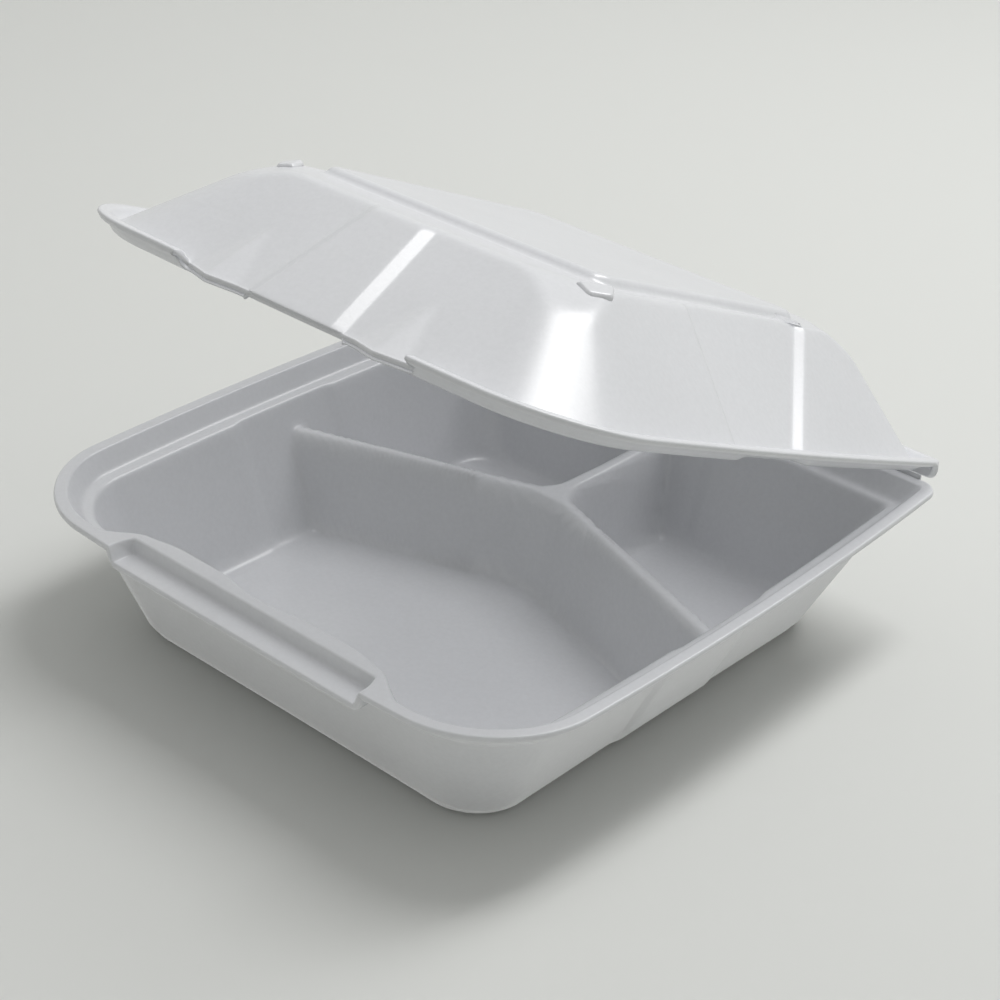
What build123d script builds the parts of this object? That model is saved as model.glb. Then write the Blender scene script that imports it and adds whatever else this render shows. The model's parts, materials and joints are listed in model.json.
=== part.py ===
from build123d import *
import os
from math import atan2, cos, degrees, radians, sin

# Hinged three-compartment take-out container, thermoformed from one sheet of white polystyrene foam.
# Frame: origin under the middle of the base, +Z up, +X along the hinge, the latch side towards -Y.
# All sizes are millimetres.

# ---- sheet and rim ---------------------------------------------------------------------------------
sheet = 2.2                # foam sheet after forming
skin_run = 1.1             # horizontal share of the wall thickness on a drafted wall
rim_width = 203.0          # across the rim, measured at its corners
rim_depth = 216.0          # hinge line to the front of the rim
rim_bow = 3.8              # how far each rim side bows out at its middle
front_radius = 34.0        # rim corners at the latch side
hinge_radius = 6.0         # rim corners at the hinge side
rim_height = 49.6          # top of the rim above the table, at the front
rim_rise = 2.9             # how much higher the rim is at the hinge

# ---- base --------------------------------------------------------------------------------------------
lip_width = 4.0            # flat lip round the rim
collar_drop = 6.5          # depth of the sloping collar inside the lip
collar_run = 4.5           # how far that collar slopes inwards
collar_back = 2.7          # horizontal thickness of the collar
ledge_width = 3.0          # flat ring at the foot of the collar
foot_half = 75.0           # half the width of the foot
foot_front = 83.0          # foot edge, in front of the middle
foot_rear = 86.0           # foot edge, behind the middle
foot_radius = 16.0
divider_top = 35.2         # ridge height above the table
divider_crest = 6.0        # width of the ridge's top
divider_spread = 6.5       # how far each ridge face spreads from top to floor
divider_end_x = 92.0       # where the main ridge runs into the side walls
divider_end_y = 2.0
divider_vertex_y = 35.0    # the shallow V of the main ridge, and the start of the short ridge
divider_radius = 10.0      # rounding between the main and short ridges

# ---- latch -------------------------------------------------------------------------------------------
pocket_half = 51.0         # half the length of the latch pocket in the base rim
pocket_face = 102.0        # the pocket's upright face, in front of the middle
pocket_drop = 5.0          # latch shelf below the rim
shelf_out = 2.5            # how far the latch shelf stands out past the rim corners' line
shelf_end_run = 4.0        # slope at each end of the shelf
bridge_width = 4.0         # rim width between the lobes
lobe_depth = 9.0           # rim width at the lobes
lobe_half = 19.0
lobe_x = 27.0              # middle of each lobe
lobe_drop = 12.0           # how deep the lobes reach down the wall
tab_half = 44.0            # half the length of the lid's latch tab

# ---- lid, drawn level above the hinge ------------------------------------------------------------------
lid_inset = 1.5            # lid lip inside the rim outline
lid_lift = 8.0             # top of the lid lip above the hinge line when the lid lies level
lid_lip = 3.5              # width of the lid's flat lip
valley_drop = 3.0          # valley between lip and wall
valley_run = 3.0
shoulder_height = 36.5     # top of the lid walls above the hinge line
shoulder_half = 62.0       # half the width of the lid at its shoulder
shoulder_front = 178.0     # shoulder edge in front of the hinge
shoulder_rear = 20.0
shoulder_radius = 12.0
panel_height = 39.4        # raised top panel above the hinge line
panel_half = 54.0
panel_front = 156.0
panel_rear = 46.0
panel_radius = 5.0
panel_step = 2.0           # slope of the step round the panel
facet_start = 45.0         # where the sloping corner facets leave the front shoulder edge
facet_back = 17.0          # where they leave the side shoulder edges, behind the front one
facet_fall = 0.42          # their slope

# ---- folds in the walls ----------------------------------------------------------------------------------
fold_bevel = 3.2           # width of the bevel beside a folded panel
front_fold_foot = 14.7     # lid front wall: a proud middle panel, half its width at the rim
front_fold_top = 8.5       # and at the shoulder
front_fold_out = 3.3
side_fold_out = -3.0       # lid side walls: a sunk panel
side_front_foot = 125.5    # its front edge at the rim, in front of the hinge
side_front_top = 119.0     # and at the shoulder
side_rear_foot = 93.0      # its rear edge at the rim
side_rear_top = 53.5       # and at the shoulder
base_fold_half = 19.0      # base side and rear walls: a proud middle panel
base_fold_out = 1.6

# ---- latch gussets and stacking lugs -----------------------------------------------------------------------
gusset_x = 32.4            # middle of each gusset
gusset_half = 9.6
gusset_height = 16.0
gusset_out = 2.4
lug_width = 11.0
lug_length = 5.5
lug_height = 0.9
lug_setback = 2.5

# ---- hinge ---------------------------------------------------------------------------------------------------
open_angle = 22.1          # lid opening as modelled, up from level
hinge_gap = 0.6            # half the crease between the two rims
apron_half = 96.0          # half the length of the lid's turned-down hinge edge
apron_chamfer = 1.6

tilt = degrees(atan2(rim_rise, rim_depth))
hinge_y = rim_depth / 2
hinge_z = rim_height + rim_rise
lip_end = lid_inset + lid_lip
wall_foot = lip_end + valley_run
valley_height = lid_lift - valley_drop


def rim_plane(drop=0.0):
    """The base rim's plane, level along X and rising gently towards the hinge, moved down by drop."""
    up = Vector(0, -sin(radians(tilt)), cos(radians(tilt)))
    middle = Vector(0, 0, rim_height + rim_rise / 2)
    return Plane(origin=middle - up * drop, x_dir=(1, 0, 0), z_dir=up)


def lid_plane(height):
    """A level plane at this height above the hinge line."""
    return Plane.XY.offset(hinge_z + height)


def rim_outline(plane, inset):
    """Rim outline moved inwards by inset: three bowed sides, a straight hinge side, rounded corners."""
    side_x = rim_width / 2 - inset
    front_y = -rim_depth / 2 + inset
    rear_y = rim_depth / 2 - hinge_gap - inset
    middle_y = (front_y + rear_y) / 2
    with BuildSketch(plane) as outline:
        with BuildLine():
            ThreePointArc((side_x, rear_y), (side_x + rim_bow, middle_y), (side_x, front_y))
            ThreePointArc((side_x, front_y), (0, front_y - rim_bow), (-side_x, front_y))
            ThreePointArc((-side_x, front_y), (-side_x - rim_bow, middle_y), (-side_x, rear_y))
            Line((-side_x, rear_y), (side_x, rear_y))
        make_face()
        fillet(outline.vertices().group_by(Axis.Y)[0], front_radius - inset)
        fillet(outline.vertices().group_by(Axis.Y)[-1], max(hinge_radius - inset, 2))
    return outline.sketch


def wall_outline(plane, half_x, front_y, rear_y, radii, bow=0.0, front=(15, 0), side=(-15, 15, 0), rear=(15, 0)):
    """Section of a drafted wall: each side has a folded middle panel, given by its ends and how proud it is."""
    front_half, front_out = front
    side_front, side_rear, side_out = side
    rear_half, rear_out = rear
    right = [
        (front_half, front_y - bow - front_out),
        (front_half + fold_bevel, front_y - bow),
        (half_x, front_y),
        (half_x + bow, side_front - fold_bevel),
        (half_x + bow + side_out, side_front),
        (half_x + bow + side_out, side_rear),
        (half_x + bow, side_rear + fold_bevel),
        (half_x, rear_y),
        (rear_half + fold_bevel, rear_y),
        (rear_half, rear_y + rear_out),
    ]
    left = [(-x, y) for x, y in reversed(right)]
    with BuildSketch(plane) as outline:
        with BuildLine():
            Polyline(*right, *left, close=True)
        make_face()
        for y, radius in zip((front_y, rear_y), radii):
            corners = outline.vertices().sort_by(lambda v: (abs(v.X) - half_x) ** 2 + (v.Y - y) ** 2)[:2]
            fillet(corners, radius)
    return outline.sketch


def frustum(*sections):
    """Solid between sections that have the same number of edges, with straight rulings."""
    with BuildPart() as block:
        loft(sections=sections, ruled=True)
    return block.part


# ---- base ------------------------------------------------------------------------------------------------------

base_folds = dict(
    side=(-base_fold_half, base_fold_half, base_fold_out),
    rear=(base_fold_half, base_fold_out),
)


def base_wall(inset, drop):
    """The base's tapering wall as a filled block, its skin moved inwards by inset and down by drop."""
    top = lip_width + collar_run + ledge_width - skin_run + inset
    foot = wall_outline(
        Plane.XY.offset(sheet - drop),
        foot_half - inset,
        -foot_front + inset,
        foot_rear - inset,
        (foot_radius, foot_radius),
        **base_folds,
    )
    head = wall_outline(
        rim_plane(collar_drop + drop),
        rim_width / 2 - top,
        -rim_depth / 2 + top,
        rim_depth / 2 - top,
        (front_radius - top, hinge_radius + 2),
        bow=rim_bow - 1,
        **base_folds,
    )
    return frustum(foot, head)


def ridge(crest, spread, bottom, top):
    """The T-shaped divider: a shallow V across the container and a short ridge to the hinge side."""
    sections = []
    for height, width in ((bottom, crest + 2 * spread), (top, crest)):
        with BuildSketch(Plane.XY.offset(height)) as plan:
            with BuildLine():
                Polyline((-divider_end_x, divider_end_y), (0, divider_vertex_y), (divider_end_x, divider_end_y))
                Line((0, divider_vertex_y), (0, rim_depth / 2 - lip_width))
            trace(line_width=width)
            inner = plan.vertices().sort_by(lambda v: abs(v.X) + abs(v.Y - divider_vertex_y))[:3]
            fillet([v for v in inner if v.Y > divider_vertex_y], divider_radius)
        sections.append(plan.sketch)
    return frustum(*sections)


def front_bar(half, near_y, far_y, low, high, end_run=0.0):
    """Bar along the front of the rim, from near_y to far_y and between two depths below the rim plane."""
    with BuildPart() as bar:
        with BuildSketch(rim_plane(low)):
            with BuildLine():
                Polyline((-half, far_y), (half, far_y), (half - end_run, near_y), (-half + end_run, near_y), close=True)
            make_face()
        extrude(amount=low - high)
    return bar.part


slope = collar_run / collar_drop
collar_depth = collar_drop + sheet
shelf_y = -rim_depth / 2 - shelf_out

# rim: flat lip and sloping collar, filled, and the hollow inside the collar
base_lip = frustum(rim_outline(rim_plane(sheet), 0), rim_outline(rim_plane(), 0))
base_collar = frustum(
    rim_outline(rim_plane(collar_depth), lip_width - collar_back + slope * collar_depth),
    rim_outline(rim_plane(), lip_width - collar_back),
)
base_collar_hollow = frustum(
    rim_outline(rim_plane(collar_drop), lip_width + collar_run),
    rim_outline(rim_plane(), lip_width),
)

# tapering wall and floor
base_outer = base_wall(0, sheet)
base_inner = base_wall(skin_run, 0)

# latch: the rim steps back above a shelf
pocket = front_bar(pocket_half, shelf_y - 10, -pocket_face, pocket_drop + 8, -2)
shelf = front_bar(pocket_half, shelf_y, -pocket_face + sheet, pocket_drop + sheet, pocket_drop, shelf_end_run)
pocket_wall = front_bar(pocket_half + 1, -pocket_face, -pocket_face + sheet, pocket_drop + sheet, 0)
bridge = front_bar(pocket_half, -pocket_face, -pocket_face + bridge_width, sheet, 0)

# dividers, and the channels under them
ridges = ridge(divider_crest, divider_spread, sheet, divider_top) & base_wall(0.5, 1.0)
channels = ridge(divider_crest - 2 * skin_run, divider_spread, -1, divider_top - sheet)
channel_limit = base_wall(2 * skin_run + 1, 2 * sheet)

with BuildPart() as base:
    add(base_lip)
    add(base_collar)
    add(base_collar_hollow, mode=Mode.SUBTRACT)
    add(base_outer)
    add(base_inner, mode=Mode.SUBTRACT)
    add(pocket, mode=Mode.SUBTRACT)
    add([shelf, pocket_wall, bridge])
    # the rim's top widens into two lobes beside the latch
    for side in (-1, 1):
        with BuildSketch(rim_plane(lobe_drop)) as lobe:
            with Locations((side * lobe_x, -pocket_face + lobe_depth / 2)):
                Rectangle(2 * lobe_half, lobe_depth)
            fillet(lobe.vertices().group_by(Axis.Y)[-1], lobe_depth * 0.8)
        extrude(amount=lobe_drop, taper=3)
    add(ridges)
    add(channels & channel_limit, mode=Mode.SUBTRACT)

base.part.label = "base"
export_step(base.part, "parts/base.step")


# ---- lid ---------------------------------------------------------------------------------------------------------

def facet_plane(side, end, drop=0.0):
    """Plane of a sloping corner facet: side is -1 left or 1 right, end is -1 front or 1 rear."""
    edge_y = hinge_y - (shoulder_front if end < 0 else shoulder_rear)
    start = Vector(side * facet_start, edge_y, hinge_z + shoulder_height - drop)
    stop = Vector(side * shoulder_half, edge_y - end * facet_back, start.Z)
    along = (stop - start).normalized()
    outward = Vector(along.Y, -along.X, 0) * (-side * end)
    normal = Vector(outward.X * facet_fall, outward.Y * facet_fall, 1)
    return Plane(origin=(start + stop) / 2, x_dir=along, z_dir=normal)


def lid_wall(inset, drop):
    """The lid's pyramid as a filled block with sloping corner facets, moved inwards by inset, down by drop."""
    low = wall_outline(
        lid_plane(valley_height - drop),
        rim_width / 2 - wall_foot - inset,
        hinge_y - rim_depth + wall_foot + inset,
        hinge_y - wall_foot - inset,
        (front_radius - wall_foot, hinge_radius),
        bow=rim_bow,
        front=(front_fold_foot, front_fold_out),
        side=(hinge_y - side_front_foot, hinge_y - side_rear_foot, side_fold_out),
    )
    high = wall_outline(
        lid_plane(shoulder_height - drop),
        shoulder_half - inset,
        hinge_y - shoulder_front + inset,
        hinge_y - shoulder_rear - inset,
        (shoulder_radius, shoulder_radius),
        front=(front_fold_top, front_fold_out),
        side=(hinge_y - side_front_top, hinge_y - side_rear_top, side_fold_out),
    )
    with BuildPart() as block:
        add(frustum(low, high))
        for side in (-1, 1):
            split(bisect_by=facet_plane(side, -1, drop), keep=Keep.BOTTOM)
            split(bisect_by=facet_plane(side, 1, drop), keep=Keep.BOTTOM)
    return block.part


def lid_panel(inset, drop):
    """The raised panel on the lid as a filled block."""
    sections = []
    for height, run in ((shoulder_height - 4, panel_step), (shoulder_height, panel_step), (panel_height, 0)):
        with BuildSketch(lid_plane(height - drop)) as outline:
            with Locations((0, hinge_y - (panel_front + panel_rear) / 2)):
                width = 2 * (panel_half + run - inset)
                length = panel_front - panel_rear + 2 * (run - inset)
                RectangleRounded(width, length, panel_radius)
        sections.append(outline.sketch)
    return frustum(*sections)


def gusset(side):
    """Pleat at the foot of the latch tab: a spike that narrows upwards along the wall."""
    foot_y = front_y + wall_foot - rim_bow
    lean = (rim_depth - wall_foot + rim_bow - shoulder_front) / (shoulder_height - valley_height)
    tip = Vertex(side * gusset_x, foot_y + lean * gusset_height + 1, hinge_z + valley_height + gusset_height)
    with BuildSketch(lid_plane(valley_height)) as foot:
        with BuildLine():
            Polyline(
                (side * gusset_x - gusset_half, foot_y + sheet),
                (side * gusset_x, foot_y - gusset_out),
                (side * gusset_x + gusset_half, foot_y + sheet),
                close=True,
            )
        make_face()
    return frustum(foot.sketch, tip)


def lug(side):
    """Small trapezoid raised on a front corner facet, which stops stacked containers from sliding."""
    plane = facet_plane(side, -1)
    outwards = side
    with BuildPart() as raised:
        with BuildSketch(plane.offset(-sheet / 2)):
            with Locations((0, -outwards * (lug_setback + lug_length / 2))):
                Trapezoid(lug_width, lug_length, 65)
        extrude(amount=sheet / 2 + lug_height)
    return raised.part


front_y = hinge_y - rim_depth
lid_lip_plate = frustum(
    rim_outline(lid_plane(lid_lift - sheet), lid_inset),
    rim_outline(lid_plane(lid_lift), lid_inset),
)
lid_collar = frustum(
    rim_outline(lid_plane(valley_height - sheet), wall_foot - skin_run),
    rim_outline(lid_plane(lid_lift), lip_end - collar_back),
)
lid_valley = frustum(
    rim_outline(lid_plane(valley_height), wall_foot),
    rim_outline(lid_plane(lid_lift), lip_end),
)
lid_outer = lid_wall(0, 0)
lid_inner = lid_wall(skin_run, sheet)
panel_outer = lid_panel(0, 0)
panel_inner = lid_panel(skin_run, sheet)

with BuildPart() as level_lid:
    add([lid_lip_plate, lid_collar])
    add(lid_valley, mode=Mode.SUBTRACT)
    add([lid_outer, panel_outer])
    add([lid_inner, panel_inner], mode=Mode.SUBTRACT)
    add([lug(-1), lug(1)])
    # latch tab: lip and collar are cut away, and two pleats stiffen the foot of the wall
    with BuildSketch(lid_plane(0)):
        with Locations((0, front_y)):
            Rectangle(2 * tab_half, 2 * (wall_foot - rim_bow))
    extrude(amount=lid_lift + 1, mode=Mode.SUBTRACT)
    add([gusset(-1), gusset(1)])
    # turned-down edge beside the crease
    with BuildSketch(Plane.YZ.offset(-apron_half)):
        with BuildLine():
            Polyline(
                (hinge_y - hinge_gap, hinge_z + hinge_gap),
                (hinge_y - hinge_gap, hinge_z + lid_lift),
                (hinge_y - hinge_gap - sheet, hinge_z + lid_lift),
                (hinge_y - hinge_gap - sheet, hinge_z + hinge_gap + apron_chamfer),
                close=True,
            )
        make_face()
    extrude(amount=2 * apron_half)

lid = level_lid.part.rotate(Axis((0, hinge_y, hinge_z), (-1, 0, 0)), open_angle)
lid.label = "lid"
export_step(lid, "parts/lid.step")
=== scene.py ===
import json
import math

import bpy
import numpy as np
from bpy.props import FloatProperty, FloatVectorProperty, PointerProperty, StringProperty
from mathutils import Matrix


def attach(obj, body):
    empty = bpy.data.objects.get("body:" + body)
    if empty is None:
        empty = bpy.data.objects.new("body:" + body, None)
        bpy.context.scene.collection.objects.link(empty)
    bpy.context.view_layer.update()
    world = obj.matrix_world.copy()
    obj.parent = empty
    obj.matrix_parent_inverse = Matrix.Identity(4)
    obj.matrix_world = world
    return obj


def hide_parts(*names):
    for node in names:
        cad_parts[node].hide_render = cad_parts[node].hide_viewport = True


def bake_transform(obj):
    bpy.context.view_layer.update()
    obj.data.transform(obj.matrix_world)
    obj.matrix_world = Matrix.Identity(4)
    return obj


bl_info = {
    "name": "Foam clamshell container",
    "version": (1, 0, 0),
    "blender": (4, 5, 0),
    "location": "3D View > Sidebar > Container",
    "description": "Thermoformed foam take-out container with a divided base and a domed, hinged lid",
    "category": "Object",
}

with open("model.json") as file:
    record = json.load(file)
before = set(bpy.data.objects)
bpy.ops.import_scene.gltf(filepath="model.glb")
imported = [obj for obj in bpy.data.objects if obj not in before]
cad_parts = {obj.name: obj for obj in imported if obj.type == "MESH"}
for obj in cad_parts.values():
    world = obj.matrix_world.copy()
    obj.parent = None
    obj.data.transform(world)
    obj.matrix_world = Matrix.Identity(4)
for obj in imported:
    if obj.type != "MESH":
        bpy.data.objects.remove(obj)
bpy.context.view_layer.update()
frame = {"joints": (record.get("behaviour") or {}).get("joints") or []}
hinge = next(j for j in frame["joints"] if j["name"] == "lid_hinge")

MM = 0.001

# ---- sizes, in millimetres -------------------------------------------------------------------
# Most repeat the values that shape the solids. The base panels' depth, the front bevels, the
# lobes' depth and drop, the gussets' depth and the lugs' width and place are the scene's own.
HINGE_Y = hinge["pos_m"][1] / MM
HINGE_Z = hinge["pos_m"][2] / MM
OPEN_ANGLE = 22.1
HINGE_GAP = 0.6

RIM_HALF = 101.5            # half the rim's width at its corners
RIM_FRONT = -108.0
RIM_BOW = 3.8
RIM_HEIGHT = 49.6
RIM_RISE = 2.9
FRONT_RADIUS = 34.0
HINGE_RADIUS = 6.0

LIP = 4.0                   # base rim: flat lip, sloping collar, ledge
COLLAR_RUN = 4.5
COLLAR_DROP = 6.5
LEDGE = 3.0
FOOT_HALF = 75.0
FOOT_FRONT = -83.0
FOOT_REAR = 86.0
FOOT_RADIUS = 16.0
BASE_FOLD = 19.0            # half the width of the proud panels in the base walls
BASE_FOLD_OUT = 0.9

POCKET_HALF = 51.0          # latch pocket
POCKET_FACE = -102.0
POCKET_DROP = 5.0
SHELF_FRONT = -110.5
BRIDGE = 4.0
LOBE_DEPTH = 2.4
LOBE_HALF = 19.0
LOBE_X = 27.0
LOBE_DROP = 13.0

RIDGE_TOP = 35.2            # dividers
RIDGE_CREST = 3.0
RIDGE_SPREAD = 6.5
RIDGE_END = (92.0, 2.0)
RIDGE_VERTEX = 35.0

LID_INSET = 1.5             # lid rim
LID_LIFT = 8.0
LID_LIP = 3.5
VALLEY_RUN = 3.0
VALLEY_HEIGHT = 5.0
TAB_HALF = 44.0
SHOULDER_HEIGHT = 36.5
SHOULDER_HALF = 62.0
SHOULDER_FRONT = 178.0      # in front of the hinge, as all lengths of the lid
SHOULDER_REAR = 20.0
SHOULDER_RADIUS = 12.0
PANEL_HEIGHT = 39.4
PANEL_HALF = 54.0
PANEL_FRONT = 156.0
PANEL_REAR = 46.0
PANEL_RADIUS = 5.0
FACET_START = 45.0
FACET_BACK = 17.0
FACET_FALL = 0.42
BEVEL = 4.4                 # beside the panels in the base and in the lid's front wall
SIDE_BEVEL = 3.2            # beside the sunk panels in the lid's side walls
FRONT_FOLD = (14.7, 8.5)
FRONT_FOLD_OUT = 3.3
SIDE_FOLD_FRONT = (125.5, 119.0)
SIDE_FOLD_REAR = (93.0, 53.5)
SIDE_FOLD_OUT = -3.0
GUSSET_X = 32.4
GUSSET_HALF = 9.6
GUSSET_HEIGHT = 16.0
GUSSET_OUT = 3.8
LUG_SETBACK = 1.8           # centre of the lug below the facet's crease
LUG_PLACE = 0.82            # share of the crease's length in front of it
LUG_SKEW = (-0.24, 0.2)     # how far the lug turns from the crease
LUG_WIDTH = 8.9
LUG_LENGTH = 5.5
LUG_TAPER = 0.24            # how much narrower its outer end is than its middle

CREASE_EDGE = 106.6         # where the lid's rear edge and its rear face meet the crease
CREASE_FACE = 107.3
FLAT_SHARE = (0.86, 0.86, 1)  # ring on the flat floor or panel, within its rounded edge


# ---- sizes and colours a user would change ---------------------------------------------------

class ContainerSettings(bpy.types.PropertyGroup):
    sheet: FloatProperty(
        name="Sheet thickness", description="Thickness of the formed foam sheet",
        default=0.0022, min=0.001, max=0.004, unit="LENGTH",
    )
    foam_colour: StringProperty(
        name="Foam colour", description="Colour of the foam skin, as an sRGB hex value",
        default="E2E3E6",
    )
    foam_roughness: FloatProperty(
        name="Skin roughness", description="Roughness of the foam's pressed skin",
        default=0.27, min=0.0, max=1.0, subtype="FACTOR",
    )
    light_through: FloatProperty(
        name="Light through", description="Share of the light that each skin of the thin sheet passes on",
        default=0.78, min=0.0, max=1.0, subtype="FACTOR",
    )
    cell_size: FloatProperty(
        name="Cell size", description="Width of one foam cell seen in the skin",
        default=0.0009, min=0.0002, max=0.004, unit="LENGTH",
    )


class StageSettings(bpy.types.PropertyGroup):
    floor_colour: StringProperty(
        name="Floor colour", description="Colour of the floor, as an sRGB hex value", default="D9DAD7",
    )
    key_power: FloatProperty(
        name="Key lamp", description="Power of the soft lamp above and behind", default=14.0, min=0.0,
        unit="POWER",
    )
    sky: FloatProperty(
        name="Sky", description="Strength of the even surrounding light", default=0.62, min=0.0,
    )
    view_centre: FloatVectorProperty(
        name="View centre", description="Point the camera turns about", default=(0.0, 0.0, 0.03),
        subtype="TRANSLATION", unit="LENGTH",
    )


# ---- materials -------------------------------------------------------------------------------

def linear(hex_colour):
    """sRGB hex to linear RGBA: c/12.92 below 0.04045, ((c + 0.055)/1.055)^2.4 above."""
    c = np.array([int(hex_colour[i:i + 2], 16) for i in (0, 2, 4)]) / 255.0
    return (*np.where(c <= 0.04045, c / 12.92, ((c + 0.055) / 1.055) ** 2.4), 1.0)


def add_node(tree, kind, settings, links=()):
    """Adds a node with its settings and links.

    Settings name its fields or its sockets, and each link is (socket, other node, its output).
    """
    node = tree.nodes.new(kind)
    for name, value in settings.items():
        if isinstance(name, str) and hasattr(node, name):
            setattr(node, name, value)
        else:
            node.inputs[name].default_value = value
    for socket, other, output in links:
        tree.links.new(other.outputs[output], node.inputs[socket])
    return node


def empty_material(name):
    material = bpy.data.materials.new(name)
    material.use_nodes = True
    material.node_tree.nodes.clear()
    return material, material.node_tree


TONE_SIZE = 0.0016          # metres: mottle of the pressed skin, and patches where it was stretched
STRETCH_SIZE = 0.045


def foam_skin(thin):
    """Expanded polystyrene sheet, thermoformed; thin is the lid's, which lets a lamp's light through.

    The pressed skin is satin. Flattened cells under it make a fine pearly grain, and the tone varies slightly
    where the sheet was stretched. The thick kind is opaque.
    """
    name = "thin_polystyrene_foam" if thin else "thermoformed_polystyrene_foam"
    material = bpy.data.materials.get(name)
    if material:
        return material
    settings = bpy.context.scene.container
    material, tree = empty_material(name)
    place = add_node(tree, "ShaderNodeTexCoord", {})
    grain = add_node(
        tree, "ShaderNodeTexVoronoi",
        {"Scale": 1.0 / settings.cell_size, "Randomness": 1.0},
        [("Vector", place, "Object")],
    )
    tone = add_node(
        tree, "ShaderNodeTexNoise", {"Scale": 1.0 / TONE_SIZE, "Detail": 1.0, "Roughness": 0.6},
        [("Vector", place, "Object")],
    )
    stretch = add_node(
        tree, "ShaderNodeTexNoise", {"Scale": 1.0 / STRETCH_SIZE, "Detail": 2.0}, [("Vector", place, "Object")],
    )
    pale = linear(settings.foam_colour)
    deep = tuple(c * 0.93 for c in pale[:3]) + (1.0,)
    mix_grain = add_node(
        tree, "ShaderNodeMix", {"data_type": "RGBA", 6: deep, 7: pale}, [(0, tone, "Fac")],
    )
    uneven = add_node(
        tree, "ShaderNodeMapRange", {"From Min": 0.3, "From Max": 0.7, "To Min": 0.97, "To Max": 1.0},
        [("Value", stretch, "Fac")],
    )
    colour = add_node(
        tree, "ShaderNodeMix", {"data_type": "RGBA", "blend_type": "MULTIPLY", 0: 1.0},
        [(6, mix_grain, 2), (7, uneven, "Result")],
    )
    cells = add_node(
        tree, "ShaderNodeBump", {"Strength": 0.16, "Distance": 0.00005}, [("Height", grain, "Distance")],
    )
    skin = add_node(
        tree, "ShaderNodeBsdfPrincipled",
        {"Roughness": settings.foam_roughness, "IOR": 1.59},
        [("Base Color", colour, 2), ("Normal", cells, "Normal")],
    )
    if not thin:
        add_node(tree, "ShaderNodeOutputMaterial", {}, [("Surface", skin, "BSDF")])
        return material
    # shadow rays pass the thin sheet dimmed, which stands in for scattering and keeps the inside pale
    path = add_node(tree, "ShaderNodeLightPath", {})
    passed = (settings.light_through,) * 3 + (1.0,)
    clear = add_node(tree, "ShaderNodeBsdfTransparent", {"Color": passed})
    sheet = add_node(
        tree, "ShaderNodeMixShader", {}, [(0, path, "Is Shadow Ray"), (1, skin, "BSDF"), (2, clear, "BSDF")],
    )
    add_node(tree, "ShaderNodeOutputMaterial", {}, [("Surface", sheet, "Shader")])
    return material


def backdrop_paper():
    """Matt pale paper sweep. It keeps the container's shadow, and is the even background in reflections."""
    material, tree = empty_material("matt_backdrop_paper")
    colour = linear(bpy.context.scene.container_stage.floor_colour)
    path = add_node(tree, "ShaderNodeLightPath", {})
    seen = add_node(
        tree, "ShaderNodeMath", {"operation": "MAXIMUM"},
        [(0, path, "Is Glossy Ray"), (1, path, "Is Transmission Ray")],
    )
    paper = add_node(tree, "ShaderNodeBsdfPrincipled", {"Base Color": colour, "Roughness": 0.9, "IOR": 1.3})
    glow = add_node(tree, "ShaderNodeEmission", {"Color": colour, "Strength": 0.9})
    mix = add_node(
        tree, "ShaderNodeMixShader", {}, [(0, seen, "Value"), (1, paper, "BSDF"), (2, glow, "Emission")],
    )
    add_node(tree, "ShaderNodeOutputMaterial", {}, [("Surface", mix, "Shader")])
    return material


# ---- shapes ----------------------------------------------------------------------------------

def soft_ramp(t, round_off=0.2):
    """0 below t = 0 and 1 above t = 1, straight between, with both bends rounded over 2 * round_off."""
    def bend(s):
        curve = (s + round_off) ** 2 / (4 * round_off)
        return np.where(s < -round_off, 0, np.where(s > round_off, s, curve))
    return bend(t) - bend(t - 1)


def soft_min(a, b, width):
    """The lower of a and b, with the corner between them rounded over width."""
    h = np.clip(0.5 + 0.5 * (b - a) / width, 0, 1)
    return b * (1 - h) + a * h - width * h * (1 - h)


def soft_max(a, b, width):
    return -soft_min(-a, -b, width)


def side_points(start, stop, marks, counts):
    """Points from start up to stop along a side, spread evenly between the marks."""
    knots = (start, *marks, stop)
    spans = zip(knots, knots[1:], counts)
    return np.concatenate([np.linspace(a, b, n, endpoint=False) for a, b, n in spans])


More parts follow.
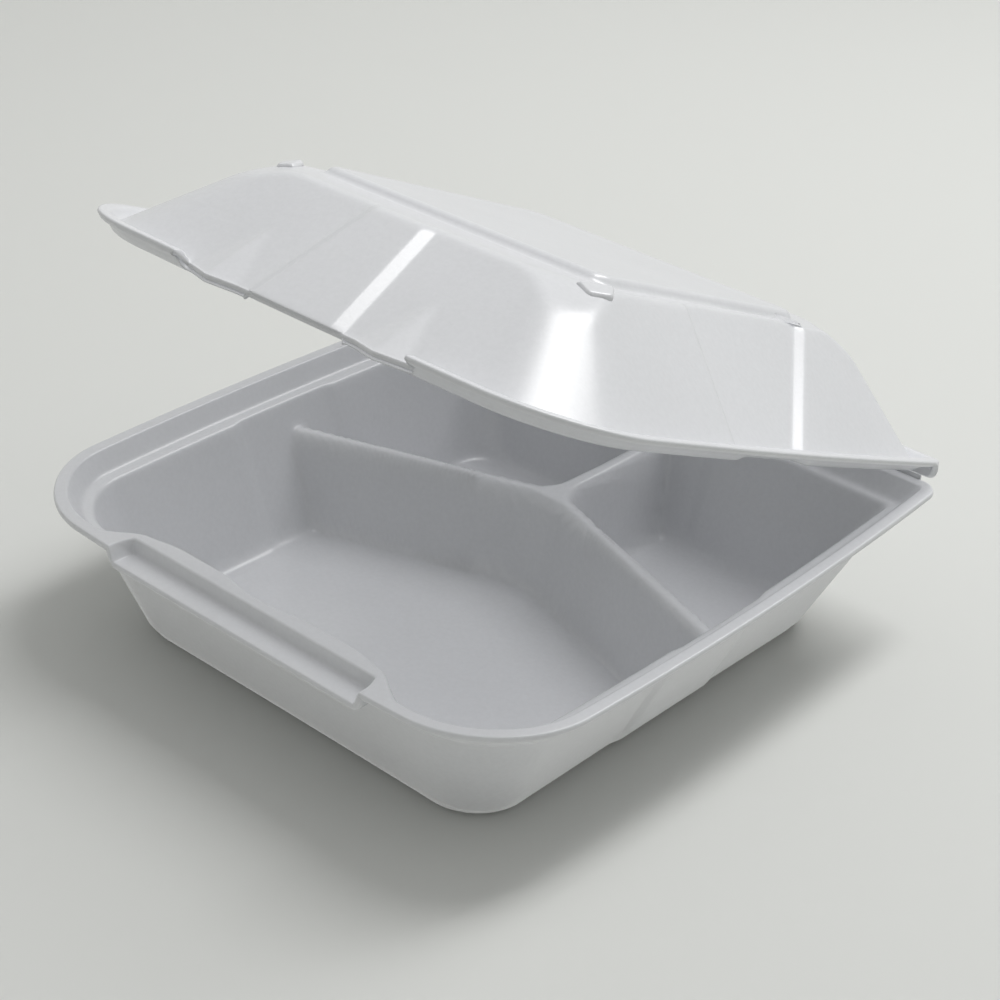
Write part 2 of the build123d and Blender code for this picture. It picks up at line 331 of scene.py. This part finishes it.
def outline(half, front, rear, radii, bow, marks, counts, outs=(0, 0, 0)):
    """One closed ring seen from above, anticlockwise from the front left corner.

    Four straight sides and four corner arcs of radii (front, rear). The marks are where the folded panels
    begin and end, as ((front...), (side...), (rear...)); outs is how proud the panel of each side is.
    A bow moves the front outwards by bow * (1 - (x/half)^2), and each side the same way along its length.
    """
    rf, rr = radii
    front_x = side_points(-(half - rf), half - rf, marks[0], counts[0])
    side_y = side_points(front + rf, rear - rr, marks[1], counts[1])
    rear_x = side_points(-(half - rr), half - rr, marks[2], counts[2])
    turn_f = np.linspace(0, np.pi / 2, 38, endpoint=False)
    turn_r = np.linspace(0, np.pi / 2, 14, endpoint=False)

    def panel(s, marks, out):
        """Proud panel: a straight bevel from the outer to the inner mark at each end."""
        if not out:
            return 0 * s
        a, b, c, d = marks
        return out * soft_ramp((s - a) / (b - a), 0.12) * soft_ramp((d - s) / (d - c), 0.12)

    front_marks, side_marks, rear_marks = marks
    fm = front_marks[len(front_marks) // 2 - 2:len(front_marks) // 2 + 2] if front_marks else ()
    out_f = panel(front_x, fm, outs[0])
    out_s = panel(side_y, side_marks, outs[1])
    out_r = panel(rear_x, rear_marks, outs[2])
    # the left side runs backwards, so its marks are mirrored about the middle of the side
    ends = (front + rf) + (rear - rr)
    mirrored = [ends - m for m in side_marks[::-1]]
    back_y = ends - side_points(front + rf, rear - rr, mirrored, counts[1][::-1])
    out_b = panel(back_y, side_marks, outs[1])
    back_x = -rear_x
    x = np.concatenate([
        front_x, half - rf + rf * np.sin(turn_f), half + out_s, half - rr + rr * np.cos(turn_r),
        back_x, -(half - rr) - rr * np.sin(turn_r), -half - out_b, -(half - rf) - rf * np.cos(turn_f),
    ])
    y = np.concatenate([
        front - out_f, front + rf - rf * np.cos(turn_f), side_y, rear - rr + rr * np.sin(turn_r),
        rear + out_r, rear - rr + rr * np.cos(turn_r), back_y, front + rf - rf * np.sin(turn_f),
    ])
    middle, reach = (front + rear) / 2, (rear - front) / 2
    along = np.clip((y - middle) / reach, -1, 1)
    across = np.clip(x / half, -1, 1)
    return np.stack([
        x + bow * across * (1 - along ** 2),
        y - bow * (1 - across ** 2) * np.clip(-along, 0, 1),
    ], axis=1)


def soften(stack, radii, steps=4):
    """Rounds the profile at each inner station.

    The arc is quadratic, between the points that lie radius away along each side.
    """
    rings = [stack[0]]
    for i in range(1, len(stack) - 1):
        before, here, after = stack[i - 1], stack[i], stack[i + 1]
        to_before = np.linalg.norm(before - here, axis=1, keepdims=True)
        to_after = np.linalg.norm(after - here, axis=1, keepdims=True)
        reach = np.minimum(radii[i], 0.46 * np.minimum(to_before, to_after))
        first = here + (before - here) * reach / np.maximum(to_before, 1e-6)
        last = here + (after - here) * reach / np.maximum(to_after, 1e-6)
        for w in np.linspace(0, 1, steps + 1):
            rings.append((1 - w) ** 2 * first + 2 * w * (1 - w) * here + w ** 2 * last)
    rings.append(stack[-1])
    return np.stack(rings)


def divide(rings, spacing):
    """Adds rings in straight lines wherever two neighbours are more than spacing apart."""
    parts = []
    for a, b in zip(rings, rings[1:]):
        n = max(1, int(math.ceil(np.linalg.norm(b - a, axis=1).max() / spacing)))
        w = np.linspace(0, 1, n, endpoint=False)[:, None, None]
        parts.append(a * (1 - w) + b * w)
    return np.concatenate([*parts, rings[-1:]])


def underside(stack, thickness):
    """Each station moved by the sheet's thickness, square to both spans that meet there (a mitre)."""
    spans = stack[1:] - stack[:-1]
    middle = (stack[1:] + stack[:-1]) / 2
    round_the_ring = np.roll(middle, -1, axis=1) - np.roll(middle, 1, axis=1)
    normals = np.cross(round_the_ring, spans)
    normals /= np.maximum(np.linalg.norm(normals, axis=2, keepdims=True), 1e-9)
    before = np.concatenate([normals[:1], normals])
    after = np.concatenate([normals, normals[-1:]])
    lean = np.sum(before * after, axis=2, keepdims=True)
    return stack - thickness * (before + after) / np.maximum(1 + lean, 0.5)


def inner_rings(ring, centre, count):
    """Rings that shrink evenly from the given one towards the centre."""
    scale = np.linspace(1, 0, count, endpoint=False)[1:, None, None]
    return centre + (ring - centre) * scale


def sheet_object(name, top, under, thin=False):
    """Closed mesh from two stacks of rings that share their first ring; each stack ends in a pole."""
    count = top.shape[1]

    def skin(first, rings, pole, flip):
        base = first + np.arange(rings - 1)[:, None] * count
        here = base + np.arange(count)
        beside = base + (np.arange(count) + 1) % count
        quads = np.stack([here, beside, beside + count, here + count], axis=2).reshape(-1, 4)
        last = first + (rings - 1) * count
        ends = np.stack([last + np.arange(count), last + (np.arange(count) + 1) % count,
                         np.full(count, pole)], axis=1)
        return (quads[:, ::-1], ends[:, ::-1]) if flip else (quads, ends)

    below = under[1:]
    verts = np.concatenate([
        top.reshape(-1, 3), below.reshape(-1, 3), top[-1].mean(axis=0)[None], below[-1].mean(axis=0)[None],
    ])
    top_pole, low_pole = len(verts) - 2, len(verts) - 1
    quads_a, ends_a = skin(0, len(top), top_pole, False)
    quads_b, ends_b = skin(len(top) * count, len(below), low_pole, True)
    edge = np.arange(count)
    step = (edge + 1) % count
    joint = np.stack([edge, len(top) * count + edge, len(top) * count + step, step], axis=1)
    faces = [*quads_a.tolist(), *ends_a.tolist(), *quads_b.tolist(), *ends_b.tolist(), *joint.tolist()]
    mesh = bpy.data.meshes.new(name)
    mesh.from_pydata((verts * MM).tolist(), [], faces)
    mesh.shade_smooth()
    mesh.materials.append(foam_skin(thin))
    piece = bpy.data.objects.new(name, mesh)
    bpy.context.scene.collection.objects.link(piece)
    return piece


def opened(points):
    """Turns points of the level lid up about the hinge line by the angle it stands open."""
    a = math.radians(OPEN_ANGLE)
    y, z = points[..., 1] - HINGE_Y, points[..., 2] - HINGE_Z
    turned = points.copy()
    turned[..., 1] = HINGE_Y + y * math.cos(a) + z * math.sin(a)
    turned[..., 2] = HINGE_Z - y * math.sin(a) + z * math.cos(a)
    return turned


# ---- base ------------------------------------------------------------------------------------

BASE_COUNTS = ((12, 8, 98, 8, 12), (40, 6, 26, 6, 46), (46, 6, 20, 6, 46))


def base_marks():
    """The latch ends in the front; the ends and bevels of the proud panels in the sides and the rear."""
    fold = (-BASE_FOLD - BEVEL, -BASE_FOLD, BASE_FOLD, BASE_FOLD + BEVEL)
    return ((-POCKET_HALF - 1.5, -POCKET_HALF + 1.5, POCKET_HALF - 1.5, POCKET_HALF + 1.5), fold, fold)


def rim_height(y, drop):
    """The rim's plane rises evenly from the front to the hinge."""
    return RIM_HEIGHT + RIM_RISE * (y - RIM_FRONT) / (HINGE_Y - RIM_FRONT) - drop


def rim_ring(inset, drop, outs=(0, 0, 0), bow=RIM_BOW):
    """Ring of the base rim, inset from its outline and drop below its plane."""
    radii = (FRONT_RADIUS - inset, max(HINGE_RADIUS - inset, 2.0))
    plan = outline(RIM_HALF - inset, RIM_FRONT + inset, HINGE_Y - HINGE_GAP - inset, radii, bow,
                   base_marks(), BASE_COUNTS, outs)
    return np.column_stack([plan, rim_height(plan[:, 1], drop)])


def latch_weight(ring, run):
    """1 along the latch at the front, falling to 0 over run just past its ends."""
    return soft_ramp((POCKET_HALF - 0.8 + run - np.abs(ring[:, 0])) / run, 0.2) * (ring[:, 1] < -60)


def at_latch(ring, y, drop, run=1.8):
    """Moves the part of a ring that lies along the latch to this depth and drop."""
    w = latch_weight(ring, run)
    z = rim_height(np.full(len(ring), y), drop)
    ring[:, 1] += w * (y - ring[:, 1])
    ring[:, 2] += w * (z - ring[:, 2])
    return ring


def divider_height(x, y, crest, top):
    """Height of the dividers: top within crest of their centre lines, then a straight fall.

    The centre lines are a shallow V across the base and a short ridge from its vertex to the rear.
    """
    def distance(ax, ay, bx, by):
        dx, dy = bx - ax, by - ay
        t = np.clip(((x - ax) * dx + (y - ay) * dy) / (dx * dx + dy * dy), 0, 1)
        return np.hypot(x - ax - t * dx, y - ay - t * dy)
    main = distance(-RIDGE_END[0], RIDGE_END[1], 0, RIDGE_VERTEX)
    main = soft_min(main, distance(0, RIDGE_VERTEX, *RIDGE_END), 4)
    d = soft_min(main, distance(0, RIDGE_VERTEX, 0, 100), 7)
    return top * (1 - soft_ramp((d - crest) / RIDGE_SPREAD, 0.22))


class CONTAINER_OT_base(bpy.types.Operator):
    """Form the base: rim with latch, tapering walls, floor and dividers"""
    bl_idname = "container.form_base"
    bl_label = "Form base"

    def execute(self, context):
        t = context.scene.container.sheet / MM
        collar = LIP + COLLAR_RUN
        ledge = collar + LEDGE
        folds = (0, BASE_FOLD_OUT, BASE_FOLD_OUT)
        foot_plan = outline(FOOT_HALF - 1, FOOT_FRONT + 1, FOOT_REAR - 1, (FOOT_RADIUS, FOOT_RADIUS), 0,
                            base_marks(), BASE_COUNTS, folds)
        foot = np.column_stack([foot_plan, np.full(len(foot_plan), t)])
        stations = np.stack([
            at_latch(rim_ring(0, t / 2), SHELF_FRONT, POCKET_DROP + t / 2),
            at_latch(rim_ring(0.2, 0), SHELF_FRONT + 0.2, POCKET_DROP),
            at_latch(rim_ring(1.4, 0), POCKET_FACE - 0.5, POCKET_DROP),
            at_latch(rim_ring(2.4, 0), POCKET_FACE, 0, 2.6),
            at_latch(rim_ring(LIP, 0), POCKET_FACE + BRIDGE, 0, 11),
            at_latch(rim_ring(collar, COLLAR_DROP), POCKET_FACE + BRIDGE + 0.6, COLLAR_DROP, 13),
            at_latch(rim_ring(ledge, COLLAR_DROP + 0.4, folds, RIM_BOW - 1), POCKET_FACE + BRIDGE + 1.4,
                     COLLAR_DROP + 3, 14),
            foot,
            foot * FLAT_SHARE,
        ])
        radii = (0, 0.7, 0.9, 0.9, 1.1, 1.6, 2.2, 5.0, 0)
        centre = np.array((0, -2.0, t))
        top = divide(soften(stations, radii), 2.4)
        top = self.with_lobes(top)
        top = np.concatenate([top, inner_rings(top[-1], centre, 42)])
        lift = divider_height(top[..., 0], top[..., 1], RIDGE_CREST, RIDGE_TOP - t) + t
        inside = top[..., 2] < RIDGE_TOP + 4
        top[..., 2] = np.where(inside, soft_max(top[..., 2], lift, 1.6), top[..., 2])

        low = underside(stations[1:], t)
        low[-2:, :, 2] = 0
        low = divide(soften(np.concatenate([stations[:1], low]), radii, 2), 8)
        low = self.with_lobes(low)
        low = np.concatenate([low, inner_rings(low[-1], centre * (1, 1, 0), 20)])
        reach = soft_ramp((68 - np.abs(low[..., 0])) / 5) * soft_ramp((78 - low[..., 1]) / 5)
        channel = divider_height(low[..., 0], low[..., 1], RIDGE_CREST - 1.1, RIDGE_TOP - t) * reach
        low[..., 2] = np.maximum(low[..., 2], channel)

        piece = sheet_object("foam_base", top, low)
        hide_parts("base")
        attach(piece, "base")
        return {"FINISHED"}

    @staticmethod
    def with_lobes(rings):
        """Two soft scallops widen the rim beside the latch and fade out down the wall."""
        x, y, z = rings[..., 0], rings[..., 1], rings[..., 2]
        drop = rim_height(y, 0) - z
        near = soft_ramp((y - POCKET_FACE - 1.2) / 1.6) * (y < -60)
        fade = 1 - soft_ramp((drop - 1.5) / LOBE_DROP, 0.3)
        width = soft_ramp((LOBE_HALF + 1.5 - np.abs(np.abs(x) - LOBE_X)) / 9, 0.5)
        rings[..., 1] += LOBE_DEPTH * width * fade * near * (drop < LOBE_DROP + 6)
        return rings


# ---- lid -------------------------------------------------------------------------------------

LID_COUNTS = ((12, 6, 28, 6, 26, 6, 28, 6, 12), (34, 6, 40, 6, 46), (120,))
VALLEY = LID_INSET + LID_LIP + VALLEY_RUN


def lid_marks(foot):
    """Ends of the latch tab and of the folded panels; foot is 1 at the rim and 0 at the shoulder."""
    fold = FRONT_FOLD[1] + foot * (FRONT_FOLD[0] - FRONT_FOLD[1])
    front_y = HINGE_Y - (SIDE_FOLD_FRONT[1] + foot * (SIDE_FOLD_FRONT[0] - SIDE_FOLD_FRONT[1]))
    rear_y = HINGE_Y - (SIDE_FOLD_REAR[1] + foot * (SIDE_FOLD_REAR[0] - SIDE_FOLD_REAR[1]))
    right = (fold, fold + BEVEL, TAB_HALF - 1.2, TAB_HALF + 1.2)
    front = (*(-v for v in right[::-1]), *right)
    side = (front_y - SIDE_BEVEL, front_y, rear_y, rear_y + SIDE_BEVEL)
    return front, side, ()


def lid_ring(inset, height, outs=(0, 0, 0)):
    """Ring of the level lid's rim."""
    radii = (FRONT_RADIUS - inset, max(HINGE_RADIUS - inset, 2.0))
    plan = outline(RIM_HALF - inset, RIM_FRONT + inset, HINGE_Y - HINGE_GAP - inset, radii, RIM_BOW,
                   lid_marks(1), LID_COUNTS, outs)
    return np.column_stack([plan, np.full(len(plan), HINGE_Z + height)])


def at_tab(ring, out, height):
    """Cuts the lip and collar away along the tab: the ring shrinks to the foot of the wall there."""
    w = soft_ramp((TAB_HALF + 0.6 - np.abs(ring[:, 0])) / 1.2, 0.1) * (ring[:, 1] < -60)
    bow = RIM_BOW * (1 - (ring[:, 0] / (RIM_HALF - VALLEY)) ** 2)
    y = RIM_FRONT + VALLEY - bow - out
    ring[:, 1] += w * (y - ring[:, 1])
    ring[:, 2] += w * (HINGE_Z + height - ring[:, 2])
    return ring


def at_crease(ring, y, height):
    """Turns the rim down to the crease along the hinge."""
    w = soft_ramp((ring[:, 1] - 101.5) / 4.0, 0.3)
    ring[:, 1] += w * (y - ring[:, 1])
    ring[:, 2] += w * (HINGE_Z + height - ring[:, 2])
    return ring


def facet_height(x, y, side, end):
    """Height of the plane of a corner facet; it falls outwards from its crease line."""
    edge_y = HINGE_Y - (SHOULDER_FRONT if end < 0 else SHOULDER_REAR)
    start = np.array((side * FACET_START, edge_y))
    stop = np.array((side * SHOULDER_HALF, edge_y - end * FACET_BACK))
    along = (stop - start) / np.linalg.norm(stop - start)
    outward = np.array((along[1], -along[0])) * (-side * end)
    away = (x - start[0]) * outward[0] + (y - start[1]) * outward[1]
    return HINGE_Z + SHOULDER_HEIGHT - FACET_FALL * away


class CONTAINER_OT_lid(bpy.types.Operator):
    """Form the domed lid: rim, folded walls, corner facets and raised panel, standing part open"""
    bl_idname = "container.form_lid"
    bl_label = "Form lid"

    def execute(self, context):
        t = context.scene.container.sheet / MM
        outs = (FRONT_FOLD_OUT, SIDE_FOLD_OUT, 0)
        lip_end = LID_INSET + LID_LIP
        low_wall = lid_ring(VALLEY, VALLEY_HEIGHT, outs)
        shoulder_plan = outline(
            SHOULDER_HALF, HINGE_Y - SHOULDER_FRONT, HINGE_Y - SHOULDER_REAR,
            (SHOULDER_RADIUS, SHOULDER_RADIUS), 0, lid_marks(0), LID_COUNTS, outs,
        )
        shoulder = np.column_stack([shoulder_plan, np.full(len(shoulder_plan), HINGE_Z + SHOULDER_HEIGHT)])
        step = self.panel_ring(PANEL_HALF + 2, SHOULDER_HEIGHT, 2.0)
        panel = self.panel_ring(PANEL_HALF, PANEL_HEIGHT, 0.0)
        centre = np.array((0, HINGE_Y - (PANEL_FRONT + PANEL_REAR) / 2, HINGE_Z + PANEL_HEIGHT))
        inner = centre + (panel - centre) * FLAT_SHARE
        edge = at_crease(lid_ring(LID_INSET, LID_LIFT - t / 2), CREASE_EDGE, 1.0)
        corner = at_crease(lid_ring(LID_INSET + 0.1, LID_LIFT - 0.3), CREASE_FACE, 1.4)
        brow = at_crease(lid_ring(LID_INSET + 0.7, LID_LIFT), CREASE_FACE, LID_LIFT)
        stations = np.stack([
            at_tab(edge, 0.9, VALLEY_HEIGHT - 0.9),
            at_tab(corner, 0.7, VALLEY_HEIGHT - 0.1),
            at_tab(brow, 0.45, VALLEY_HEIGHT + 0.1),
            at_tab(lid_ring(lip_end, LID_LIFT), 0.25, VALLEY_HEIGHT + 0.15),
            low_wall,
            shoulder,
            step,
            panel,
            inner,
        ])
        radii = (0, 0.4, 0.8, 1.2, 1.4, 2.4, 1.6, 1.6, 0)
        top = self.finished(divide(soften(stations, radii), 2.2), 0, 1.6)
        top = np.concatenate([top, inner_rings(top[-1], centre, 18)])
        low_centre = centre - (0, 0, t)
        low = underside(stations[1:], t)
        low = divide(soften(np.concatenate([stations[:1], low]), radii, 2), 4.2)
        low = self.finished(low, 1.1 * t, 1.6)
        low = np.concatenate([low, inner_rings(low[-1], low_centre, 10)])

        piece = sheet_object("foam_lid", opened(top), opened(low), thin=True)
        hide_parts("lid")
        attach(piece, "lid")
        return {"FINISHED"}

    @staticmethod
    def panel_ring(half, height, run):
        """Rounded rectangle of the raised panel, with as many points as the shoulder."""
        front, rear = HINGE_Y - PANEL_FRONT - run, HINGE_Y - PANEL_REAR + run
        radius = PANEL_RADIUS + run
        front_marks, side_marks, _ = lid_marks(0)
        shrink = (rear - front - 2 * radius) / (SHOULDER_FRONT - SHOULDER_REAR - 2 * SHOULDER_RADIUS)
        middle = (front + rear) / 2
        old = HINGE_Y - (SHOULDER_FRONT + SHOULDER_REAR) / 2
        side = tuple(middle + (m - old) * shrink for m in side_marks)
        plan = outline(half, front, rear, (radius, radius), 0, (front_marks, side, ()), LID_COUNTS)
        return np.column_stack([plan, np.full(len(plan), HINGE_Z + height)])

    @staticmethod
    def finished(rings, below, width):
        """Adds the corner facets and, at the foot of the tab, the two gussets."""
        x, y = rings[..., 0], rings[..., 1]
        for side in (-1, 1):
            for end in (-1, 1):
                plane = facet_height(x, y, side, end) - below
                rings[..., 2] = soft_min(rings[..., 2], plane, width)
        up = np.clip((rings[..., 2] + below - HINGE_Z - VALLEY_HEIGHT) / GUSSET_HEIGHT, 0, 1)
        half = GUSSET_HALF * (1 - up) + 0.01
        tent = np.clip(1 - np.abs(np.abs(x) - GUSSET_X) / half, 0, 1)
        rings[..., 1] -= GUSSET_OUT * (1 - up) * tent * (y < -60)
        return rings


class CONTAINER_OT_lugs(bpy.types.Operator):
    """Press the two stacking lugs on the lid's front corner facets"""
    bl_idname = "container.press_lugs"
    bl_label = "Press lugs"

    def execute(self, context):
        for side, name in ((-1, "foam_lug_left"), (1, "foam_lug_right")):
            edge_y = HINGE_Y - SHOULDER_FRONT
            start = np.array((side * FACET_START, edge_y, HINGE_Z + SHOULDER_HEIGHT))
            stop = np.array((side * SHOULDER_HALF, edge_y + FACET_BACK, HINGE_Z + SHOULDER_HEIGHT))
            crease = (stop - start) / np.linalg.norm(stop - start)
            outward = np.array((crease[1], -crease[0], 0)) * side
            normal = np.array((outward[0] * FACET_FALL, outward[1] * FACET_FALL, 1))
            normal /= np.linalg.norm(normal)
            centre = start + LUG_PLACE * (stop - start) + np.cross(crease, normal) * side * LUG_SETBACK
            along = crease + (side * LUG_SKEW[0], LUG_SKEW[1], 0)
            along -= normal * (along @ normal)
            along /= np.linalg.norm(along)
            down = np.cross(along, normal) * side
            along = along * side

            def ring(grow, height):
                """Superellipse-cornered trapezoid, narrower at the outer end."""
                a = np.linspace(0, 2 * np.pi, 72, endpoint=False)
                power = 0.35
                u = np.sign(np.cos(a)) * np.abs(np.cos(a)) ** power
                v = np.sign(np.sin(a)) * np.abs(np.sin(a)) ** power
                wide = (LUG_WIDTH / 2 + grow) * (1 - LUG_TAPER * v)
                flat = (u * wide)[:, None] * along + (v * (LUG_LENGTH / 2 + grow))[:, None] * down
                return centre + flat + normal * height
            top = np.stack([ring(0.6, -1.2), ring(0.5, 0.0), ring(0.05, 0.75), ring(-0.35, 0.95),
                            ring(-1.2, 0.95)])
            low = np.stack([ring(0.6, -1.2), ring(0.2, -1.3), ring(-1.2, -1.3)])
            if side < 0:
                top, low = top[:, ::-1], low[:, ::-1]
            piece = sheet_object(name, opened(top), opened(low), thin=True)
            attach(piece, "lid")
        return {"FINISHED"}


class CONTAINER_OT_hinge(bpy.types.Operator):
    """Crease the thin strip of foam that joins base and lid"""
    bl_idname = "container.crease_hinge"
    bl_label = "Crease hinge"

    def execute(self, context):
        # section across the crease: a flat loop 0.8 mm thick, carried straight along the hinge line
        turn = np.linspace(0, 2 * np.pi, 24, endpoint=False)
        y = HINGE_Y - 0.75 + 0.42 * np.cos(turn)
        z = HINGE_Z + 0.35 + 1.15 * np.sin(turn)
        x = np.linspace(-94.0, 94.0, 48)
        verts = np.stack(np.broadcast_arrays(x[:, None], y[None], z[None]), axis=2)
        count = len(turn)
        here = (np.arange(len(x) - 1)[:, None] * count + np.arange(count)).reshape(-1)
        beside = (np.arange(len(x) - 1)[:, None] * count + (np.arange(count) + 1) % count).reshape(-1)
        quads = np.stack([here, beside, beside + count, here + count], axis=1)
        last = (len(x) - 1) * count
        faces = [*quads.tolist(), list(range(count))[::-1], [last + i for i in range(count)]]
        mesh = bpy.data.meshes.new("foam_crease")
        mesh.from_pydata((verts.reshape(-1, 3) * MM).tolist(), [], faces)
        mesh.shade_smooth()
        mesh.materials.append(foam_skin(False))
        piece = bpy.data.objects.new("foam_crease", mesh)
        context.scene.collection.objects.link(piece)
        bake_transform(piece)
        return {"FINISHED"}


# ---- stage -----------------------------------------------------------------------------------

CAMERA_AZIMUTH = 39.3
CAMERA_ELEVATION = 29.3
CAMERA_ROLL = 4.4
CAMERA_DISTANCE = 0.7014
CAMERA_SIDE = 0.0055
CAMERA_UP = 0.0134
CAMERA_LENS = 78.45


class CONTAINER_OT_stage(bpy.types.Operator):
    """Set the floor, the lamp, the surrounding light and the camera"""
    bl_idname = "container.set_stage"
    bl_label = "Set stage"

    def execute(self, context):
        scene = context.scene
        settings = scene.container_stage
        self.sweep(context)
        self.lamp(context, "key_lamp", (0.12, 0.70, 1.37), (0.36, 1.15), settings.key_power)
        world = bpy.data.worlds.new("even_studio_light")
        world.use_nodes = True
        tree = world.node_tree
        tree.nodes.clear()
        path = add_node(tree, "ShaderNodeLightPath", {})
        seen = add_node(
            tree, "ShaderNodeMath", {"operation": "MAXIMUM"},
            [(0, path, "Is Camera Ray"), (1, path, "Is Transmission Ray")],
        )
        light = add_node(tree, "ShaderNodeBackground", {"Color": (1, 1, 1, 1), "Strength": settings.sky})
        paper = linear(settings.floor_colour)
        plain = add_node(tree, "ShaderNodeBackground", {"Color": paper, "Strength": 1.0})
        mix = add_node(
            tree, "ShaderNodeMixShader", {},
            [(0, seen, "Value"), (1, light, "Background"), (2, plain, "Background")],
        )
        add_node(tree, "ShaderNodeOutputWorld", {}, [("Surface", mix, "Shader")])
        scene.world = world
        scene.view_settings.view_transform = "Standard"
        self.camera(context)
        return {"FINISHED"}

    @staticmethod
    def sweep(context):
        """Round paper sweep: flat, then a quarter circle, then straight up.

        The bend is r = 2.4 + 0.8 sin(a), z = 0.8 (1 - cos(a)), for a from 0 to 90 degrees.
        """
        turn = np.linspace(0, 2 * np.pi, 96, endpoint=False)
        bend = np.linspace(0, np.pi / 2, 14)
        radius = np.concatenate([[0.3, 1.2], 2.4 + 0.8 * np.sin(bend), [3.2]])
        height = np.concatenate([[0, 0], 0.8 * (1 - np.cos(bend)), [3.0]])
        verts = np.stack([
            radius[:, None] * np.cos(turn), radius[:, None] * np.sin(turn),
            np.broadcast_to(height[:, None], (len(radius), len(turn))),
        ], axis=2)
        count = len(turn)
        here = (np.arange(len(radius) - 1)[:, None] * count + np.arange(count)).reshape(-1)
        beside = (np.arange(len(radius) - 1)[:, None] * count + (np.arange(count) + 1) % count).reshape(-1)
        quads = np.stack([here, here + count, beside + count, beside], axis=1)
        mesh = bpy.data.meshes.new("paper_sweep")
        mesh.from_pydata(verts.reshape(-1, 3).tolist(), [], [*quads.tolist(), list(range(count))])
        mesh.shade_smooth()
        mesh.materials.append(backdrop_paper())
        floor = bpy.data.objects.new("paper_sweep", mesh)
        context.scene.collection.objects.link(floor)

    @staticmethod
    def lamp(context, name, place, size, power):
        """Long soft lamp that faces the container; size is its width and its length towards the floor."""
        light = bpy.data.lights.new(name, "AREA")
        light.shape = "RECTANGLE"
        light.size, light.size_y = size
        light.energy = power
        lamp = bpy.data.objects.new(name, light)
        lamp.location = place
        away = np.array(place) - (0, 0, 0.06)
        x, y, z = away / np.linalg.norm(away)
        lamp.rotation_euler = (math.acos(z), 0, math.atan2(y, x) + math.pi / 2)
        lamp.visible_camera = False
        context.scene.collection.objects.link(lamp)

    @staticmethod
    def camera(context):
        """Camera turned about the view centre by azimuth, elevation and roll, then moved aside and up."""
        az, el, roll = (math.radians(v) for v in (CAMERA_AZIMUTH, CAMERA_ELEVATION, CAMERA_ROLL))
        back = np.array((math.sin(az) * math.cos(el), -math.cos(az) * math.cos(el), math.sin(el)))
        right = np.array((math.cos(az), math.sin(az), 0))
        up = np.cross(back, right)
        cos, sin = math.cos(roll), math.sin(roll)
        right, up = right * cos + up * sin, up * cos - right * sin
        place = np.array(context.scene.container_stage.view_centre) + back * CAMERA_DISTANCE
        place = place + right * CAMERA_SIDE + up * CAMERA_UP
        lens = bpy.data.cameras.new("camera")
        lens.lens = CAMERA_LENS
        lens.sensor_width = 36.0
        camera = bpy.data.objects.new("camera", lens)
        rows = np.eye(4)
        rows[:3, 0], rows[:3, 1], rows[:3, 2], rows[:3, 3] = right, up, back, place
        camera.matrix_world = Matrix(rows.tolist())
        context.scene.collection.objects.link(camera)
        context.scene.camera = camera


class CONTAINER_PT_panel(bpy.types.Panel):
    """Lists the container's sizes and the steps that form it"""
    bl_label = "Foam container"
    bl_idname = "CONTAINER_PT_panel"
    bl_space_type = "VIEW_3D"
    bl_region_type = "UI"
    bl_category = "Container"

    def draw(self, context):
        layout = self.layout
        for name in ("sheet", "foam_colour", "foam_roughness", "light_through", "cell_size"):
            layout.prop(context.scene.container, name)
        for name in ("floor_colour", "key_power", "sky", "view_centre"):
            layout.prop(context.scene.container_stage, name)
        for step in STEPS:
            layout.operator(step.bl_idname)


STEPS = (CONTAINER_OT_base, CONTAINER_OT_lid, CONTAINER_OT_lugs, CONTAINER_OT_hinge, CONTAINER_OT_stage)
CLASSES = (ContainerSettings, StageSettings, *STEPS, CONTAINER_PT_panel)


def register():
    for cls in CLASSES:
        bpy.utils.register_class(cls)
    bpy.types.Scene.container = PointerProperty(type=ContainerSettings)
    bpy.types.Scene.container_stage = PointerProperty(type=StageSettings)


def unregister():
    del bpy.types.Scene.container_stage
    del bpy.types.Scene.container
    for cls in reversed(CLASSES):
        bpy.utils.unregister_class(cls)


def main():
    register()
    bpy.ops.container.form_base()
    bpy.ops.container.form_lid()
    bpy.ops.container.press_lugs()
    bpy.ops.container.crease_hinge()
    bpy.ops.container.set_stage()
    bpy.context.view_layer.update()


if __name__ == "__main__":
    main()
